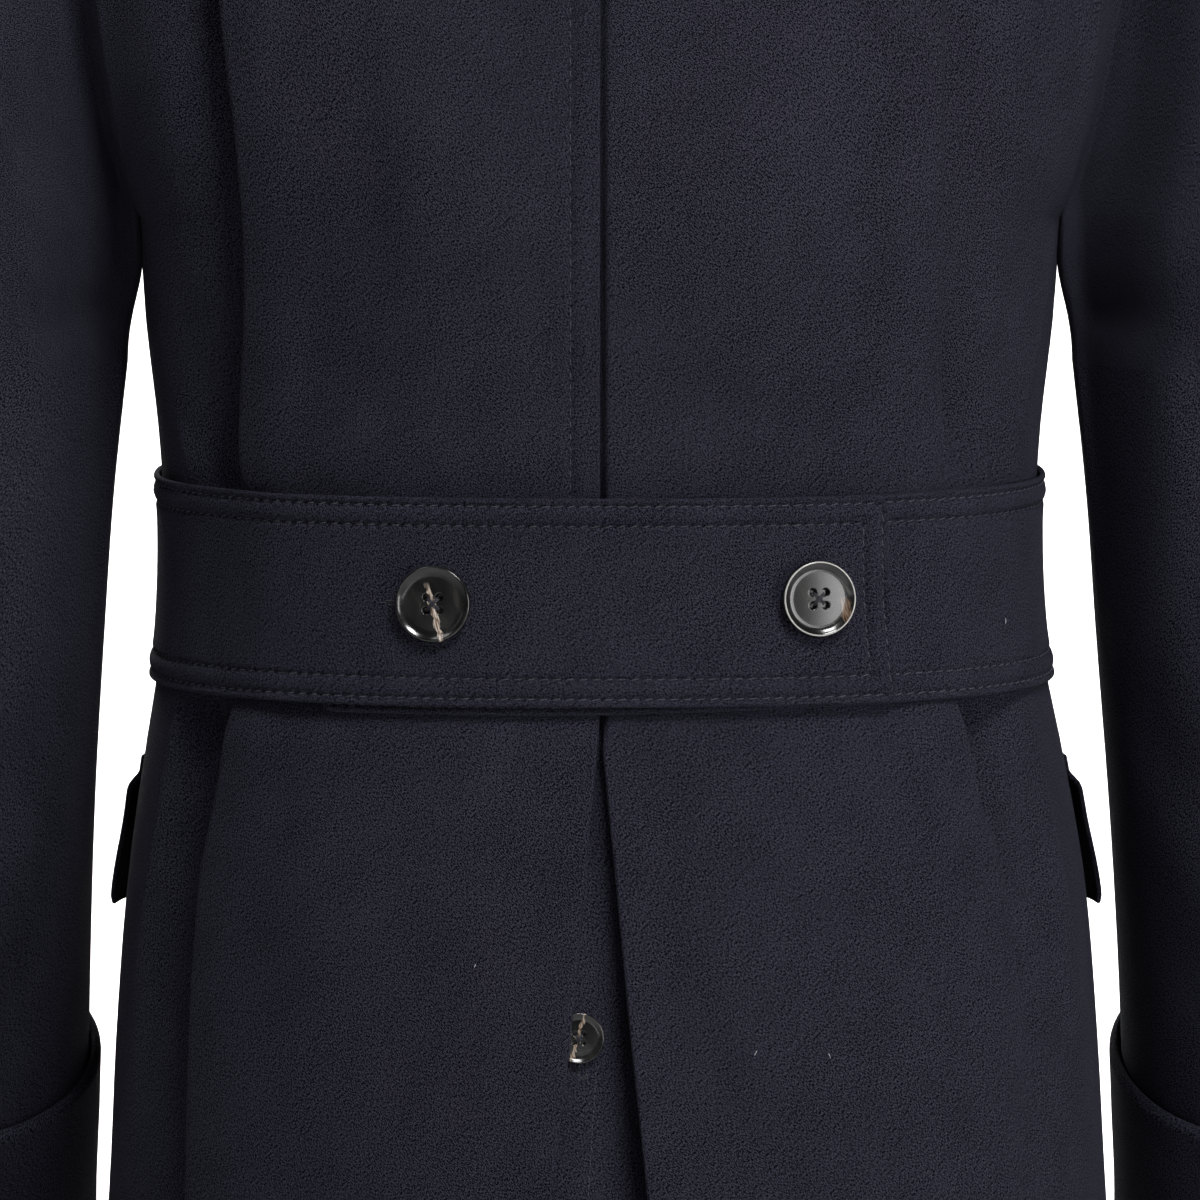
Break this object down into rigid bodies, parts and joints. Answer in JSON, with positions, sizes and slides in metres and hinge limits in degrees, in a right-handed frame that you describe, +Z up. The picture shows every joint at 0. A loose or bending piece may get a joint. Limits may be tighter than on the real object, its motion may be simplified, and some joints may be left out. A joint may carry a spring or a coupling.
{
  "type": "polo coat",
  "caption": "Navy wool polo coat worn hollow: double-breasted, half belt with two buttons, buttoned centre-back vent, flapped patch pockets and turn-back cuffs.",
  "frame": {"origin": "middle of the neck at the height of the collar seam at the centre back, where the coat hangs from the wearer's neck and shoulders", "axes": "+Z up as worn, -Y the way the wearer faces, +X the wearer's left"},
  "size_m": [0.6761, 0.3815, 1.1842],
  "materials": {
    "navy_wool": "brushed wool twill, dull with a short nap",
    "dark_horn": "polished dark horn with grey and brown streaks"
  },
  "bodies": {
    "root": {"back_left": "navy_wool", "back_right": "navy_wool", "belt_button_left": "dark_horn", "belt_button_right": "dark_horn", "belt_left": "navy_wool", "belt_right": "navy_wool", "collar": "navy_wool", "cuff_left": "navy_wool", "cuff_right": "navy_wool", "flap_left": "navy_wool", "flap_right": "navy_wool", "front_button_left_1": "dark_horn", "front_button_left_2": "dark_horn", "front_button_left_3": "dark_horn", "front_button_right_1": "dark_horn", "front_button_right_2": "dark_horn", "front_button_right_3": "dark_horn", "front_left": "navy_wool", "front_right": "navy_wool", "lapel_left": "navy_wool", "lapel_right": "navy_wool", "pocket_left": "navy_wool", "pocket_right": "navy_wool", "sleeve_left_top": "navy_wool", "sleeve_left_under": "navy_wool", "sleeve_right_top": "navy_wool", "sleeve_right_under": "navy_wool", "vent_button": "dark_horn", "vent_underlay": "navy_wool"}
  },
  "joints": []
}
